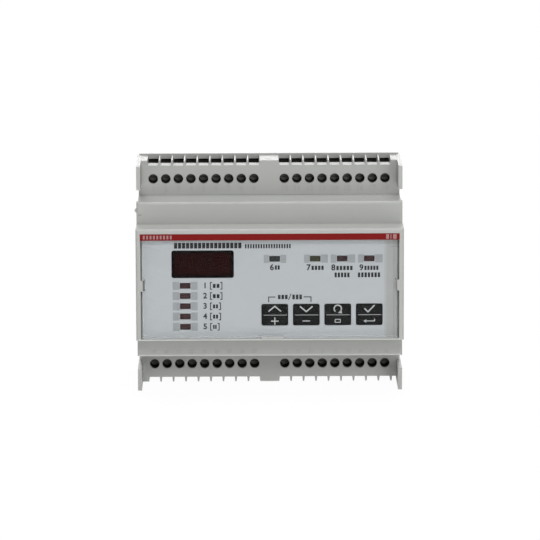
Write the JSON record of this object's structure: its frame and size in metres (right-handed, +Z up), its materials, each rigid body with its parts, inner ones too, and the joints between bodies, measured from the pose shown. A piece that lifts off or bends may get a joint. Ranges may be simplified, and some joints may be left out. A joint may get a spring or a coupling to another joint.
{
  "type": "insulation monitoring device",
  "caption": "Rail-mounted insulation monitor: stepped case, terminal rows, tinted display, lamps, press keys, hinged clear cover and sliding rail clips.",
  "frame": {"origin": "centre of the raised face that seats on the rail", "axes": "+X to the right seen from the front, +Y from the front to the rail, +Z up"},
  "size_m": [0.1067, 0.058, 0.0922],
  "materials": {
    "case": "fine satin moulded grey plastic",
    "film": "satin printed film",
    "panel": "moulded grey plastic",
    "red": "printed band",
    "window": "tinted display window",
    "black": "black plastic",
    "key": "black key cap",
    "clip": "black moulded clip",
    "clear": "clear polycarbonate",
    "lamp_red": "tinted lamp",
    "lamp_green": "tinted lamp",
    "lamp_yellow": "tinted lamp",
    "board": "solder-masked circuit board",
    "steel": "plated steel",
    "core": "laminated core",
    "winding": "taped copper winding",
    "relay": "blue relay case",
    "can": "sleeved aluminium can",
    "capbox": "film capacitor case",
    "fuse_glass": "glass tube with metal caps",
    "varistor": "coated ceramic disc"
  },
  "bodies": {
    "case": {"rear_base": "case", "front_housing": "case", "terminal_cover_top": "case", "terminal_cover_bottom": "case", "front_panel": "panel", "printed_film": "film", "red_band": "red", "display_window": "window", "display_module": "black", "key_switches": "black", "unit_lamps": "lamp_red", "set_lamp": "lamp_green", "alarm_lamp": "lamp_yellow", "relay_lamp": "lamp_red", "fault_lamp": "lamp_red", "front_board": "board", "front_board_screws": "steel", "main_board": "board", "main_board_screws": "steel", "link_board": "board", "main_socket": "black", "front_socket": "black", "transformer_core": "core", "transformer_winding": "winding", "transformer_bobbin": "black", "relays": "relay", "supply_capacitors": "can", "film_capacitors": "capbox", "fuse": "fuse_glass", "varistor": "varistor", "rectifier": "black", "controller_chip": "black", "terminal_block_top_left": "black", "terminal_block_top_right": "black", "terminal_block_bottom_left": "black", "terminal_block_bottom_right": "black", "terminal_screws_top": "steel", "terminal_screws_bottom": "steel", "clamp_cages_top": "steel", "clamp_cages_bottom": "steel", "solder_pins_top": "steel", "solder_pins_bottom": "steel"},
    "cover": {"clear_cover": "clear"},
    "up_key": {"up_key": "key", "up_plunger": "black"},
    "down_key": {"down_key": "key", "down_plunger": "black"},
    "reset_key": {"reset_key": "key", "reset_plunger": "black"},
    "test_key": {"test_key": "key", "test_plunger": "black"},
    "left_clip": {"rail_clip_left": "clip"},
    "right_clip": {"rail_clip_right": "clip"}
  },
  "joints": [
    {"name": "cover_hinge", "type": "hinge", "parent": "case", "child": "cover", "pos_m": [0, -0.0517, 0.0163], "axis": [-1, 0, 0], "range_deg": [0, 95]},
    {"name": "up_press", "type": "slide", "parent": "case", "child": "up_key", "axis": [0, 1, 0], "range_m": [0, 0.0005], "stiffness_N_per_m": 400, "springref_m": -0.0005},
    {"name": "down_press", "type": "slide", "parent": "case", "child": "down_key", "axis": [0, 1, 0], "range_m": [0, 0.0005], "stiffness_N_per_m": 400, "springref_m": -0.0005},
    {"name": "reset_press", "type": "slide", "parent": "case", "child": "reset_key", "axis": [0, 1, 0], "range_m": [0, 0.0005], "stiffness_N_per_m": 400, "springref_m": -0.0005},
    {"name": "test_press", "type": "slide", "parent": "case", "child": "test_key", "axis": [0, 1, 0], "range_m": [0, 0.0005], "stiffness_N_per_m": 400, "springref_m": -0.0005},
    {"name": "left_clip_slide", "type": "slide", "parent": "case", "child": "left_clip", "axis": [0, 0, -1], "range_m": [0, 0.003], "stiffness_N_per_m": 2000, "springref_m": -0.001},
    {"name": "right_clip_slide", "type": "slide", "parent": "case", "child": "right_clip", "axis": [0, 0, -1], "range_m": [0, 0.003], "stiffness_N_per_m": 2000, "springref_m": -0.001}
  ]
}
